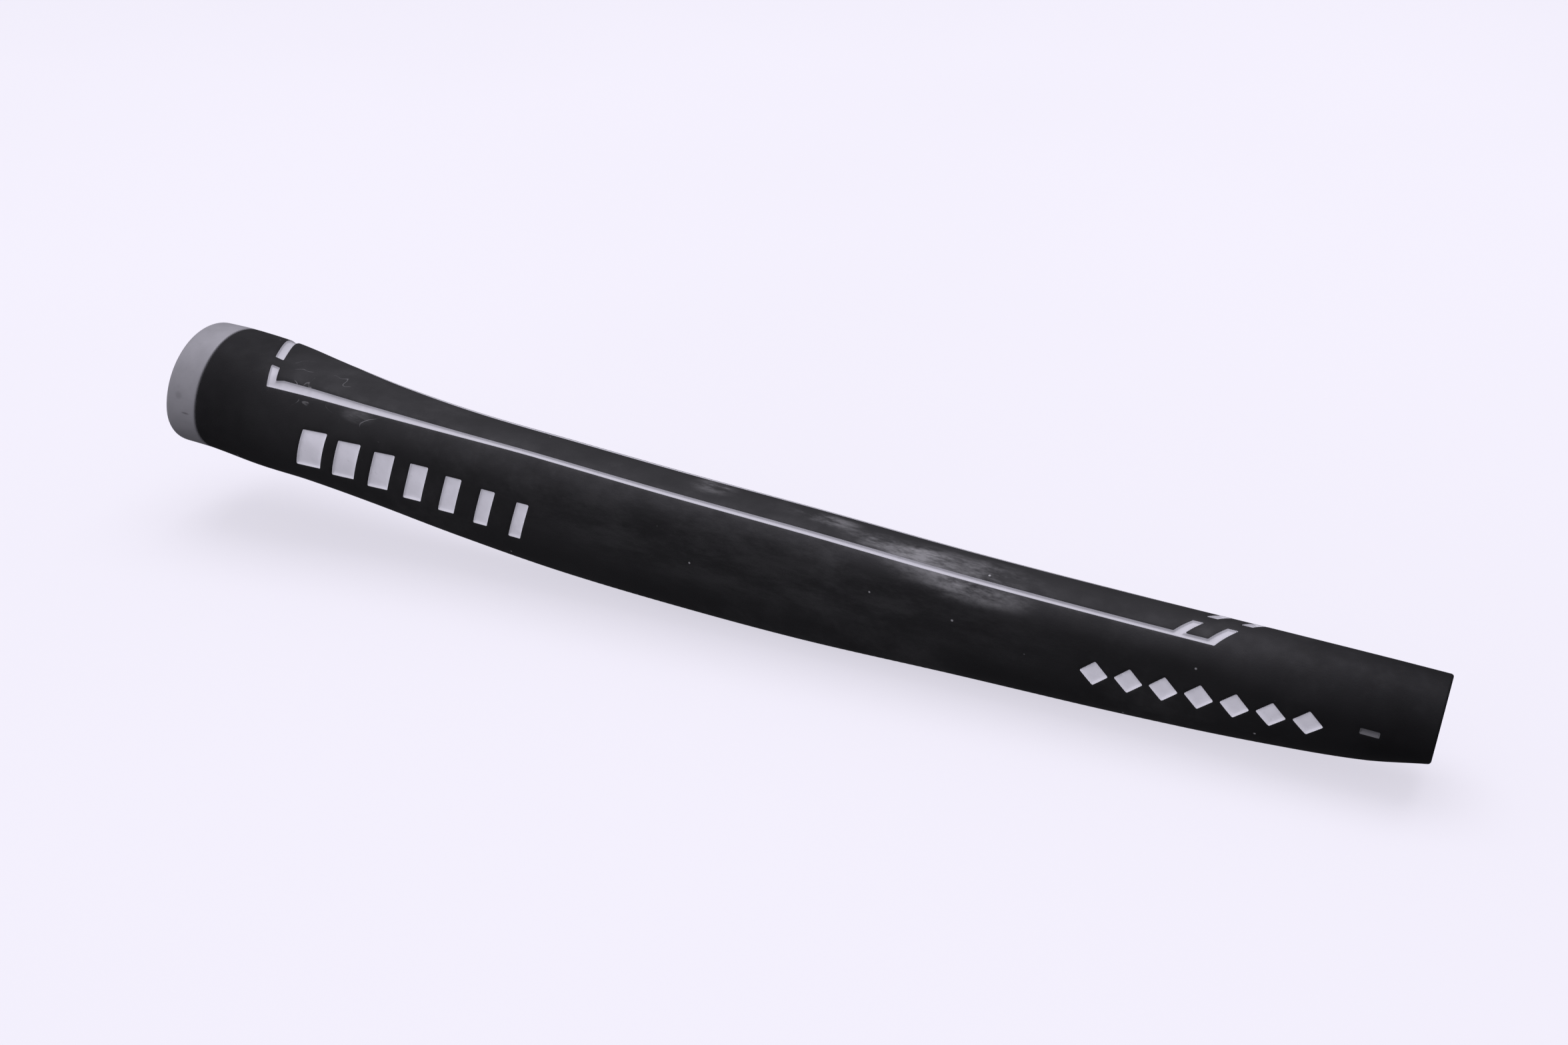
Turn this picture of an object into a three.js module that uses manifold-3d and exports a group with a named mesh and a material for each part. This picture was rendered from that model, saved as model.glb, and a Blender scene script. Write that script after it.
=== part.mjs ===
// Pistol-shaped putter grip: a moulded rubber sleeve over a tapered shaft bore, a grey butt cap that
// plugs the thick end, and shallow recesses on the thumb side and one flank that hold paint.
// Millimetres, +Z up. The bore runs along X, butt at -X and mouth at +X, and the thumb side faces +Z.
// The origin is the bottom centre of the grip's box, so the belly rests on z = 0.
import * as THREE from "three";
import { mergeVertices } from "three/addons/utils/BufferGeometryUtils.js";
import Module from "manifold-3d";

// Driving dimensions ---------------------------------------------------------------------------------
const GRIP_LENGTH = 266.7; // 10.5 inches nominal, first station to mouth, along the bore
const CAP_WALL = 8.0; // where the cap's side wall meets the sleeve
const CAP_FACE = -0.7; // where its end face stands, just before the first station
const JOINT_GAP = 0.3; // clearance between pieces that touch
const BUTT_TILT = 0.09; // lean of the butt face: x moved per unit of z
const TILT_FADE = 42; // distance from the butt over which that lean dies away
const BORE_RADIUS_BUTT = 6.7;
const BORE_RADIUS_MOUTH = 5.2;
const PLUG_RADIUS = 6.3; // plug on the cap's inner side, which fits the bore
const PLUG_END = 13.5; // where the plug's inner face stands
const CAP_EDGE_ROUND = 1.7;
const VENT_RADIUS = 1.5; // air hole through the cap
const RECESS_DEPTH = 0.9; // paint recess in the rubber
const PAINT_TOP = 0.3; // paint surface below the rubber
const PAINT_BOTTOM = 0.6;
const PAINT_MARGIN = 0.3; // side gap between paint and recess wall

// Fineness
const RING_POINTS = 32;
const SLEEVE_STEPS = 38;
const ROUND_SIDES = 32;
const LINE_STEPS = 22;
const EDGE_STEPS = 4;
const PRISM_REACH = 30; // length of the prisms that cut the recesses
const CUT_OVERRUN = 5; // how far a cutter runs past the face it opens
const WELD_DISTANCE = 1e-4;

// Outer shape: stations along the bore, the first just inside the cap's end. Heights are from the bore
// axis: crest up to the round that the flat thumb side cuts, depth down, half the width across.
const STATIONS = [
  { x: 0.0, crest: 15.2, depth: 11.9, half: 14.1 },
  { x: 8.0, crest: 15.3, depth: 12.0, half: 14.2 },
  { x: 20.0, crest: 14.6, depth: 13.4, half: 13.9 },
  { x: 32.0, crest: 13.0, depth: 14.1, half: 12.7 },
  { x: 48.0, crest: 10.9, depth: 15.9, half: 11.1 },
  { x: 68.0, crest: 9.4, depth: 18.4, half: 9.9 },
  { x: 92.0, crest: 8.7, depth: 20.2, half: 9.4 },
  { x: 118.0, crest: 8.0, depth: 20.6, half: 9.1 },
  { x: 148.0, crest: 7.6, depth: 20.0, half: 8.8 },
  { x: 180.0, crest: 6.9, depth: 17.9, half: 8.5 },
  { x: 212.0, crest: 7.0, depth: 15.9, half: 8.4 },
  { x: 240.0, crest: 7.6, depth: 13.4, half: 8.2 },
  { x: 256.0, crest: 7.9, depth: 11.2, half: 8.1 },
  { x: GRIP_LENGTH, crest: 8.0, depth: 8.0, half: 8.0 },
];
const ROUND_POWER = 2.0; // superellipse exponent of both ends, which are round
const THUMB_POWER = 2.05; // and of the upper and lower halves of the shaped middle
const BELLY_POWER = 2.35;
const PANEL_SHARE = 0.94; // where the upright side panels cut the shaped middle, as a share of half
const PANEL_CLEAR = 1.6; // and where they stand, clear of it, at both ends
const PANEL_POWER = 20; // how tight the shoulders are between flat faces and the rest
const SHAPED_FROM = 60; // the middle is fully shaped between these two
const SHAPED_TO = 225;
const THUMB_SHARE = 0.95; // where the flat thumb side cuts the section, as a share of the crest
const THUMB_CLEAR = 1.2; // and where it stands, clear of it, at both ends
const FLAT_FROM = 24; // the thumb side is fully flat between these two
const FLAT_TO = 110;

// Thumb-side outline. Its long lines run wide at the butt and close in to a steady spacing.
const OUTLINE_START = 23.4; // the long lines start to close in here
const OUTLINE_HALF_BUTT = 9.7; // from the crest to a long line's outer edge
const OUTLINE_HALF_WAIST = 5.2;
const OUTLINE_NARROWS_TO = 90;
const LINE_WIDTH_BUTT = 1.8;
const LINE_WIDTH_WAIST = 1.1;
const BUTT_BAR = { x: 22.2, slant: -0.38, width: 2.2, gapFrom: -5.0, gapTo: -2.6 };
const MOUTH_BARS = [224.1, 230.3]; // where each slanted bar's centre line crosses the crest
const MOUTH_BAR = { slant: 0.75, width: 2.2, gapFrom: -0.8, gapTo: 1.5 };

// Flank marks on the -Y side: a row of slanted bars near the butt, a row of diamonds near the mouth
const BAR_ROW = { from: 34, to: 93, count: 7, height: 9.0, zFrom: -0.9, zTo: -6.4, lean: 1.4 };
const BAR_WIDTH_FIRST = 0.7; // as a share of the row's pitch
const BAR_WIDTH_LAST = 0.35;
const DIAMOND_ROW = { from: 204.5, to: 249, count: 7, height: 5.5, zFrom: -5.1, zTo: -2.9 };
const PATCH = { from: 254.3, to: 257.8, low: -2.1, high: -0.7 };

const ROUGHNESS = { rubber: 0.8, cap: 0.6, paint: 0.5 };
const COLOURS = { rubber: 0x1c1c1e, cap: 0x9a9ca2, outline: 0xa9abb0, mark: 0xe9eaee, patch: 0x6c6d70 };

const wasm = await Module();
wasm.setup();

// Section shape ---------------------------------------------------------------------------------------

/** Cubic Hermite value of one station column at x, with the slopes of a Catmull-Rom curve. */
function column(name, x) {
  const last = STATIONS.length - 1;
  let i = 0;
  while (i < last - 1 && x > STATIONS[i + 1].x) i += 1;
  const slope = (j) => {
    const lo = STATIONS[Math.max(j - 1, 0)];
    const hi = STATIONS[Math.min(j + 1, last)];
    return (hi[name] - lo[name]) / (hi.x - lo.x);
  };
  const a = STATIONS[i];
  const b = STATIONS[i + 1];
  const span = b.x - a.x;
  const t = THREE.MathUtils.clamp((x - a.x) / span, 0, 1);
  const t2 = t * t;
  const t3 = t2 * t;
  return (
    (2 * t3 - 3 * t2 + 1) * a[name] +
    (t3 - 2 * t2 + t) * span * slope(i) +
    (3 * t2 - 2 * t3) * b[name] +
    (t3 - t2) * span * slope(i + 1)
  );
}

/** 0 at both round ends of the grip and 1 between two places along it. */
function middleShare(x, from, to) {
  const fromButt = THREE.MathUtils.smoothstep(x, CAP_WALL, from);
  const fromMouth = 1 - THREE.MathUtils.smoothstep(x, to, GRIP_LENGTH);
  return fromButt * fromMouth;
}

/** Radius of the section at x in the direction `angle`, measured from +Z towards +Y. */
function sectionRadius(x, angle) {
  const up = Math.cos(angle);
  const across = Math.abs(Math.sin(angle));
  const crest = column("crest", x);
  const half = column("half", x);
  const height = up > 0 ? crest : column("depth", x);
  const shaped = middleShare(x, SHAPED_FROM, SHAPED_TO);
  const flat = middleShare(x, FLAT_FROM, FLAT_TO);
  const power = THREE.MathUtils.lerp(ROUND_POWER, up > 0 ? THUMB_POWER : BELLY_POWER, shaped);
  const body = ((across / half) ** power + (Math.abs(up) / height) ** power) ** (-1 / power);
  const panel = half * THREE.MathUtils.lerp(PANEL_CLEAR, PANEL_SHARE, shaped);
  const thumb = crest * THREE.MathUtils.lerp(THUMB_CLEAR, THUMB_SHARE, flat);
  const cuts = (across / panel) ** PANEL_POWER + (Math.max(up, 0) / thumb) ** PANEL_POWER;
  return (body ** -PANEL_POWER + cuts) ** (-1 / PANEL_POWER);
}

/** Point on the section at x, drawn in towards the bore axis by `inset`. */
function surfacePoint(x, angle, inset) {
  const r = sectionRadius(x, angle) - inset;
  const z = r * Math.cos(angle);
  const lean = BUTT_TILT * z * (1 - THREE.MathUtils.smoothstep(x, 0, TILT_FADE));
  return new THREE.Vector3(x + lean, r * Math.sin(angle), z);
}

/** The ring of points round the section at x. */
function sectionRing(x, inset) {
  const ring = [];
  for (let j = 0; j < RING_POINTS; j += 1) {
    ring.push(surfacePoint(x, (2 * Math.PI * j) / RING_POINTS, inset));
  }
  return ring;
}

// Solids ---------------------------------------------------------------------------------------------

/** Closed geometry through rings of equally many points, ordered alike, with flat ends. */
function loft(rings) {
  const count = rings[0].length;
  const points = rings.flat();
  const index = [];
  for (let i = 0; i < rings.length - 1; i += 1) {
    for (let j = 0; j < count; j += 1) {
      const a = i * count + j;
      const b = i * count + ((j + 1) % count);
      index.push(a, b, b + count, a, b + count, a + count);
    }
  }
  const centreOf = (ring) => {
    const sum = ring.reduce((total, p) => total.add(p), new THREE.Vector3());
    return sum.divideScalar(count);
  };
  const firstCentre = points.push(centreOf(rings[0])) - 1;
  const lastCentre = points.push(centreOf(rings.at(-1))) - 1;
  const lastRing = (rings.length - 1) * count;
  for (let j = 0; j < count; j += 1) {
    const k = (j + 1) % count;
    index.push(firstCentre, k, j);
    index.push(lastCentre, lastRing + j, lastRing + k);
  }
  const geometry = new THREE.BufferGeometry().setFromPoints(points);
  geometry.setIndex(index);
  return geometry;
}

/** three.js geometry to a manifold-3d solid, turned the right way out if its faces point in. */
function toSolid(geometry) {
  const bare = geometry.clone();
  bare.deleteAttribute("normal");
  bare.deleteAttribute("uv");
  const merged = mergeVertices(bare, WELD_DISTANCE);
  const vertProperties = new Float32Array(merged.getAttribute("position").array);
  const triVerts = new Uint32Array(merged.getIndex().array);
  const solid = new wasm.Manifold(new wasm.Mesh({ numProp: 3, vertProperties, triVerts }));
  if (solid.volume() > 0) return solid;
  triVerts.reverse();
  return new wasm.Manifold(new wasm.Mesh({ numProp: 3, vertProperties, triVerts }));
}

/** manifold-3d solid back to a three.js geometry. */
function toGeometry(solid) {
  const mesh = solid.getMesh();
  const geometry = new THREE.BufferGeometry();
  geometry.setAttribute("position", new THREE.BufferAttribute(mesh.vertProperties, 3));
  geometry.setIndex(new THREE.BufferAttribute(mesh.triVerts, 1));
  geometry.computeVertexNormals();
  return geometry;
}

/** Cylinder or cone along X, of radius r0 at x0 and r1 at x1. */
function barrel(x0, x1, r0, r1) {
  const geometry = new THREE.CylinderGeometry(r1, r0, x1 - x0, ROUND_SIDES);
  geometry.rotateZ(-Math.PI / 2);
  geometry.translate((x0 + x1) / 2, 0, 0);
  return toSolid(geometry);
}

/** The sleeve's outer body, drawn in by `inset`. */
function sleeveBody(inset) {
  const from = CAP_WALL + JOINT_GAP / 2;
  const rings = [];
  for (let i = 0; i <= SLEEVE_STEPS; i += 1) {
    rings.push(sectionRing(THREE.MathUtils.lerp(from, GRIP_LENGTH, i / SLEEVE_STEPS), inset));
  }
  return toSolid(loft(rings));
}

/** Upright prism over a plan outline of [x, y] points, from the bore axis up. */
function prismUp(points) {
  const shape = new THREE.Shape(points.map(([x, y]) => new THREE.Vector2(x, y)));
  return toSolid(new THREE.ExtrudeGeometry(shape, { depth: PRISM_REACH, bevelEnabled: false }));
}

/** Level prism over a side outline of [x, z] points, from the bore axis out to -Y. */
function prismSide(points) {
  const shape = new THREE.Shape(points.map(([x, z]) => new THREE.Vector2(x, z)));
  const geometry = new THREE.ExtrudeGeometry(shape, { depth: PRISM_REACH, bevelEnabled: false });
  geometry.rotateX(Math.PI / 2);
  return toSolid(geometry);
}

// Outlines of the recesses. Each takes a margin, by which it shrinks on every side. --------------------

/** How far the outline's outer edge stands from the crest at x. */
function outlineHalf(x) {
  const t = (x - OUTLINE_START) / (OUTLINE_NARROWS_TO - OUTLINE_START);
  const left = 1 - THREE.MathUtils.clamp(t, 0, 1);
  return THREE.MathUtils.lerp(OUTLINE_HALF_WAIST, OUTLINE_HALF_BUTT, left ** 2);
}

/** Width of the long lines at x, thick at the butt and thin towards the mouth. */
function lineWidth(x) {
  const t = THREE.MathUtils.smoothstep(x, OUTLINE_START, OUTLINE_NARROWS_TO);
  return THREE.MathUtils.lerp(LINE_WIDTH_BUTT, LINE_WIDTH_WAIST, t);
}

/** Plan outline of the long line on one side, -1 for -Y and +1 for +Y. */
function longLine(side, margin) {
  const start = BUTT_BAR.x + side * BUTT_BAR.slant * OUTLINE_HALF_BUTT - BUTT_BAR.width / 2;
  const end = MOUTH_BARS[1] + side * MOUTH_BAR.slant * OUTLINE_HALF_WAIST + MOUTH_BAR.width / 2;
  const inner = [];
  const outer = [];
  for (let i = 0; i <= LINE_STEPS; i += 1) {
    const x = THREE.MathUtils.lerp(start + margin, end - margin, i / LINE_STEPS);
    outer.push([x, side * (outlineHalf(x) - margin)]);
    inner.push([x, side * (outlineHalf(x) - lineWidth(x) + margin)]);
  }
  return outer.concat(inner.reverse());
}

/** Plan outline of a slanted bar between two distances from the crest. */
function crossBar({ slant, width }, x, y0, y1, margin) {
  const half = width / 2 - margin;
  const low = y0 + margin;
  const high = y1 - margin;
  return [
    [x + slant * low - half, low],
    [x + slant * low + half, low],
    [x + slant * high + half, high],
    [x + slant * high - half, high],
  ];
}

/** Side outline of one bar of the butt-end row; the bars get narrower towards the mouth. */
function rowBar(i, margin) {
  const { from, to, count, height, zFrom, zTo, lean } = BAR_ROW;
  const pitch = (to - from) / count;
  const x = from + pitch * i + margin;
  const z = THREE.MathUtils.lerp(zFrom, zTo, i / (count - 1));
  const share = THREE.MathUtils.lerp(BAR_WIDTH_FIRST, BAR_WIDTH_LAST, i / (count - 1));
  const width = pitch * share - 2 * margin;
  const half = height / 2 - margin;
  return [
    [x - lean, z - half],
    [x - lean + width, z - half],
    [x + lean + width, z + half],
    [x + lean, z + half],
  ];
}

/** Side outline of one diamond of the mouth-end row. */
function rowDiamond(i, margin) {
  const { from, to, count, height, zFrom, zTo } = DIAMOND_ROW;
  const pitch = (to - from) / count;
  const x = from + pitch * (i + 0.5);
  const z = THREE.MathUtils.lerp(zFrom, zTo, i / (count - 1));
  const half = height / 2 - margin * Math.SQRT2;
  return [
    [x - half, z],
    [x, z - half],
    [x + half, z],
    [x, z + half],
  ];
}

/** Side outline of the small rectangular patch near the mouth. */
function patchOutline(margin) {
  const { from, to, low, high } = PATCH;
  return [
    [from + margin, low + margin],
    [to - margin, low + margin],
    [to - margin, high - margin],
    [from + margin, high - margin],
  ];
}

/** One side of the thumb-side outline: its long line with the cross bars that run into it. */
function outlineSide(side, margin) {
  const reach = side * outlineHalf(BUTT_BAR.x);
  const waist = side * OUTLINE_HALF_WAIST;
  const barFrom = (bar, x, outer) => {
    const near = side < 0;
    const y0 = near ? outer : bar.gapTo;
    const y1 = near ? bar.gapFrom : outer;
    return prismUp(crossBar(bar, x, y0, y1, margin));
  };
  let solid = prismUp(longLine(side, margin)).add(barFrom(BUTT_BAR, BUTT_BAR.x, reach));
  for (const x of MOUTH_BARS) solid = solid.add(barFrom(MOUTH_BAR, x, waist));
  return solid;
}

/** Every recess: its paint's node name and colour, and its prism for a given margin. */
function listRecesses() {
  const list = [
    { name: "outline_near", colour: "outline", prism: (margin) => outlineSide(-1, margin) },
    { name: "outline_far", colour: "outline", prism: (margin) => outlineSide(1, margin) },
  ];
  for (let i = 0; i < BAR_ROW.count; i += 1) {
    const prism = (margin) => prismSide(rowBar(i, margin));
    list.push({ name: `flank_bar_${i + 1}`, colour: "mark", prism });
  }
  for (let i = 0; i < DIAMOND_ROW.count; i += 1) {
    const prism = (margin) => prismSide(rowDiamond(i, margin));
    list.push({ name: `flank_diamond_${i + 1}`, colour: "mark", prism });
  }
  const patch = (margin) => prismSide(patchOutline(margin));
  list.push({ name: "flank_patch", colour: "patch", prism: patch });
  return list;
}

// Pieces ---------------------------------------------------------------------------------------------

/** Rubber sleeve: the outer body less the shaft bore and every recess. */
function makeSleeve(recesses) {
  const taper = (BORE_RADIUS_BUTT - BORE_RADIUS_MOUTH) / GRIP_LENGTH;
  const boreEnd = BORE_RADIUS_MOUTH - taper * CUT_OVERRUN;
  const bore = barrel(0, GRIP_LENGTH + CUT_OVERRUN, BORE_RADIUS_BUTT, boreEnd);
  const floor = sleeveBody(RECESS_DEPTH);
  let sleeve = sleeveBody(0).subtract(bore);
  for (const recess of recesses) {
    sleeve = sleeve.subtract(recess.prism(0).subtract(floor));
  }
  return sleeve;
}

/** Butt cap: a disc with a rounded outer edge and a plug, with the air hole through both. */
function makeCap() {
  const rings = [];
  for (let i = 0; i <= EDGE_STEPS; i += 1) {
    const angle = (Math.PI / 2) * (i / EDGE_STEPS);
    const x = CAP_FACE + CAP_EDGE_ROUND * (1 - Math.cos(angle));
    rings.push(sectionRing(x, CAP_EDGE_ROUND * (1 - Math.sin(angle))));
  }
  rings.push(sectionRing(CAP_WALL - JOINT_GAP / 2, 0));
  const plug = barrel(CAP_WALL / 2, PLUG_END, PLUG_RADIUS, PLUG_RADIUS);
  const vent = barrel(CAP_FACE - CUT_OVERRUN, PLUG_END + CUT_OVERRUN, VENT_RADIUS, VENT_RADIUS);
  return toSolid(loft(rings)).add(plug).subtract(vent);
}

/** Paint lying in one recess, clear of its walls and floor. */
function makePaint(recess, top, bottom) {
  return recess.prism(PAINT_MARGIN).intersect(top).subtract(bottom);
}

/** Named mesh of a solid in its own material. */
function makeMesh(name, solid, colour, roughness) {
  const material = new THREE.MeshStandardMaterial({ color: colour, roughness, metalness: 0 });
  const mesh = new THREE.Mesh(toGeometry(solid), material);
  mesh.name = name;
  return mesh;
}

const recesses = listRecesses();
const paintTop = sleeveBody(PAINT_TOP);
const paintBottom = sleeveBody(PAINT_BOTTOM);
const group = new THREE.Group();
group.add(makeMesh("sleeve", makeSleeve(recesses), COLOURS.rubber, ROUGHNESS.rubber));
group.add(makeMesh("butt_cap", makeCap(), COLOURS.cap, ROUGHNESS.cap));
for (const recess of recesses) {
  const paint = makePaint(recess, paintTop, paintBottom);
  group.add(makeMesh(recess.name, paint, COLOURS[recess.colour], ROUGHNESS.paint));
}

// Bottom centre of the whole grip to the origin
const box = new THREE.Box3().setFromObject(group);
const centre = box.getCenter(new THREE.Vector3());
group.position.set(-centre.x, -centre.y, -box.min.z);

export default group;
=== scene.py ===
"""A pistol-shaped putter grip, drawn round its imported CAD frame.

The frame holds the grip's size and place. This script gives each of its nodes a fine mesh of the
same shape, with rounded edges, pressed recesses and paint linings, and a procedural material.
Lengths in the shape functions are millimetres along the bore from the butt, and out from its axis.
metres() turns them into the frame's metres.
"""
import math

import bmesh
import bpy
import numpy as np
from mathutils import Matrix, Vector, geometry, kdtree


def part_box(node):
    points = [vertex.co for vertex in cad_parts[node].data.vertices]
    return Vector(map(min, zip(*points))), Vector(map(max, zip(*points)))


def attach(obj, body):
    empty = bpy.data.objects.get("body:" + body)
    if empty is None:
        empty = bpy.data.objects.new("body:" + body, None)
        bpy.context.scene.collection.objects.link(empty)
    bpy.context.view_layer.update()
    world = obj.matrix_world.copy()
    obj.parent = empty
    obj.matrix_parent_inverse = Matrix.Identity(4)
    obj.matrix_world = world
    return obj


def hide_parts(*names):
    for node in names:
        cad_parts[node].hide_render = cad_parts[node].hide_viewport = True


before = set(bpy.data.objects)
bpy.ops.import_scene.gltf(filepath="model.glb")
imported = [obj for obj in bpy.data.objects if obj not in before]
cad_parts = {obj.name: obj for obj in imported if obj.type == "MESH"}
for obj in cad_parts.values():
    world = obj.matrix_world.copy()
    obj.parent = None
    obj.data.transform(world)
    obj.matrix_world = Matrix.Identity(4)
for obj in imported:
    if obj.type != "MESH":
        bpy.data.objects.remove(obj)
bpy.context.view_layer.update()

# Camera, in metres in the frame, with its roll in degrees and its lens in millimetres
CAMERA_PLACE = (0.1337, -0.2774, 0.2012)
CAMERA_TARGET = (0.0062, 0.0068, 0.0206)
CAMERA_ROLL = 2.19
CAMERA_LENS = 41.49

# Main lengths
GRIP_LENGTH = 266.7
CAP_WALL = 8.0
JOINT_GAP = 0.3
SLEEVE_START = CAP_WALL + JOINT_GAP / 2.0
BUTT_TILT = 0.09  # lean of the butt face: x moved per unit of z
TILT_FADE = 42.0
BORE_BUTT = 6.7
BORE_MOUTH = 5.2
PLUG_RADIUS = 6.3
PLUG_END = 13.5
CAP_FACE = -0.7  # where the cap's end face stands
CAP_DISH = 0.45  # how far its middle is sunk
VENT_RADIUS = 1.5

# Edge rounds and small chamfers
CAP_EDGE = 1.7
JOINT_ROUND = 0.35
MOUTH_ROUND = 0.5
BORE_LIP = 0.4
PLUG_CHAMFER = 0.5
PLUG_ROOT = 0.3
VENT_CHAMFER_OUTER = 0.3
VENT_CHAMFER_INNER = 0.2

# Outer shape. Columns: x, crest above the bore axis, depth below it, half the width
STATIONS = np.array([
    (0.0, 15.2, 11.9, 14.1),
    (8.0, 15.3, 12.0, 14.2),
    (20.0, 14.6, 13.4, 13.9),
    (32.0, 13.0, 14.1, 12.7),
    (48.0, 10.9, 15.9, 11.1),
    (68.0, 9.4, 18.4, 9.9),
    (92.0, 8.7, 20.2, 9.4),
    (118.0, 8.0, 20.6, 9.1),
    (148.0, 7.6, 20.0, 8.8),
    (180.0, 6.9, 17.9, 8.5),
    (212.0, 7.0, 15.9, 8.4),
    (240.0, 7.6, 13.4, 8.2),
    (256.0, 7.9, 11.2, 8.1),
    (GRIP_LENGTH, 8.0, 8.0, 8.0),
])
CREST, DEPTH, HALF = 1, 2, 3
THUMB_POWER = 2.05
BELLY_POWER = 2.35
SHAPED_FROM = 60.0
SHAPED_TO = 225.0
PANEL_SHARE = 0.94
PANEL_CLEAR = 1.6
PANEL_POWER = 20.0
THUMB_SHARE = 0.95  # where the flat thumb side cuts the section, as a share of the crest
THUMB_CLEAR = 1.2
FLAT_FROM = 24.0
FLAT_TO = 110.0
SKIN_CLEAR = 0.02  # the fine skin stays this far inside the frame's box

# Thumb-side outline, measured from the crest
OUTLINE_START = 23.4
OUTLINE_BUTT = 9.7
OUTLINE_WAIST = 5.2
OUTLINE_NARROWS_TO = 90.0
LINE_BUTT = 1.75
LINE_WAIST = 1.18
LINE_MOUTH = 1.0
LINE_THINS = (150.0, 225.0)  # where the long lines go from waist to mouth width
BUTT_BAR = {"x": 22.2, "slant": -0.38, "width": 2.2, "near_end": -5.0, "far_end": -2.6}
MOUTH_BARS = (224.1, 230.3)
MOUTH_BAR = {"slant": 0.75, "width": 2.2, "near_end": -0.8, "far_end": 1.5}

# Marks on the -Y flank
BAR_ROW = {"from": 34.0, "to": 93.0, "count": 7, "height": 9.0, "z": (-0.9, -6.4), "lean": 1.4}
BAR_WIDTHS = (0.7, 0.35)  # first and last bar, as shares of the row's pitch
DIAMOND_ROW = {"from": 204.5, "to": 249.0, "count": 7, "height": 5.5, "z": (-5.1, -2.9)}
PATCH = {"from": 254.3, "to": 257.8, "low": -2.1, "high": -0.7}

# Recess walls as (distance in from the outline, depth below the skin)
RUBBER_WALL = ((-0.05, 0.0), (0.02, 0.03), (0.08, 0.12), (0.33, 0.47))
RUBBER_FLOOR = 0.5
PAINT_WALL = ((0.06, 0.05), (0.12, 0.12), (0.31, 0.40))
PAINT_FLOOR = 0.42
PAINT_THICK = 0.04
CORNER_ROUND = 0.35
CORNER_ROUND_LEAST = 0.05
CORNER_BEND = math.radians(20)  # a gentler bend than this isn't a corner
CORNER_EDGE_SHARE = 0.45  # of a neighbouring edge, at most, that a corner's curve takes

# Fineness of the meshes
RING = 96
RING_ANGLES = -math.pi + 2.0 * math.pi * np.arange(RING) / RING
TABLE_X = np.arange(0.0, GRIP_LENGTH + 1.0, 1.0)
TABLE_ANGLE = np.linspace(0.0, math.pi, 361)
THUMB_ANGLE = TABLE_ANGLE[:170]  # short of a quarter turn, so that each y has one place
SKIN_STEP = 0.8
EDGE_STEP = 1.5  # longest straight edge of a recess's outline before it is wrapped on the skin
LOOP_STEP = 0.5  # and of its loops afterwards
LINE_POINTS = 120
BETWEEN_BARS = 4
ANGLE_SCALE = 10.0  # how the unrolled skin weighs angle against x
ROUND_STEPS = 5
CAP_EDGE_STEPS = 8
CAP_FACE_SHARES = (0.0, 0.12, 0.3, 0.55, 0.78, 0.88, 0.95, 1.0)  # its rings, from vent to edge
CAP_DISH_EDGE = (0.72, 0.97)  # the shares between which the dish rises to the level rim
CAP_WALL_RINGS = 5
CAP_WALL_INSET = 0.8  # from the cap's rounds to its first and last straight wall rings
BORE_RINGS = 12
BORE_INSET = 1.0  # from the bore's ends to its first and last straight rings
FLOOR_MARGIN = 0.03  # from the foot of a recess wall to its level floor
SKIN_CLEARANCE = 0.35  # least distance from a grid place to a recess's loops
SAME_POINT = 1e-7
SHARP_ANGLE = math.radians(38.0)

# Looks. Tones are linear greys and strengths are shares. A mark on the skin is given as its x and
# its degrees from the crest, its radii in metres, and its weight.
RUBBER_TONES = (0.005, 0.008)
DUST_TONE = 0.3
DUST_STRENGTH = 0.48
FILM_STRENGTH = 0.12
SMEARS_AND_PALE_FLANK = [
    ((126, 12), (0.006, 0.004, 0.004), 0.8),
    ((150, 4), (0.010, 0.003, 0.003), 1.0),
    ((166, -16), (0.014, 0.0035, 0.004), 1.0),
    ((180, -30), (0.020, 0.007, 0.006), 0.9),
    ((184, -58), (0.013, 0.003, 0.003), 0.5),
    # a broad, faint patch that makes the middle of the -Y flank paler than its ends
    ((140, -92), (0.085, 0.010, 0.014), 0.12),
    ((47, -46), (0.005, 0.002, 0.002), 0.4),
]
SCRATCHED = [
    ((34, -24), (0.015, 0.009, 0.006), 1.0),
    ((52, -52), (0.010, 0.004, 0.005), 1.0),
]
SCRATCH_STRENGTH = 0.5
SPECK_TONE = 0.45
SPECK_STRENGTH = 0.6
SHEEN_FADE = (0.095, 0.125)  # distances from mid-length, in metres
SHEEN_MIDDLE = 0.24
SHEEN_ENDS = 0.10
CAP_TONES = (0.185, 0.215)
CAP_RUBS = [
    ((5.4, -86), (0.0014, 0.0006, 0.0003), 0.75),
    ((3.3, -71), (0.0012, 0.0012, 0.0012), 0.3),
]
CAP_RUB_TONE = 0.06
GRIME_STRENGTH = 0.15
PAINTS = {  # each kind's tone and how worn it is
    "outline": (0.4, 0.3),
    "mark": (0.86, 0.2),
    "patch": (0.12, 0.4),
}
FLOOR_TONES = (0.185, 0.195)
FLOOR_GLOW = 0.66
FLOOR_ROUGHNESS = 0.8
FLOOR_SPECULAR = 0.1

# Stage
LIGHT_TINT = (0.955, 0.925, 1.04)
SKY_AXIS = (-0.3, -0.44, 0.85)  # the sky is brightest this way: overhead and towards the viewer
SKY_RAMP = {"From Min": -0.3, "From Max": 0.7, "To Min": 0.11, "To Max": 0.95}
LAMP_PLACE = (-0.1, 0.3, 1.35)
LAMP_SIZE = (1.5, 1.0)
LAMP_POWER = 17.0
FLOOR_TILT = math.radians(3.0)  # the grip lies on its belly with its mouth low
FLOOR_REACH = 15.0
FLOOR_DROP = 0.0001  # how far the floor stays below the belly


# Shape -------------------------------------------------------------------------------------------

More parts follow.
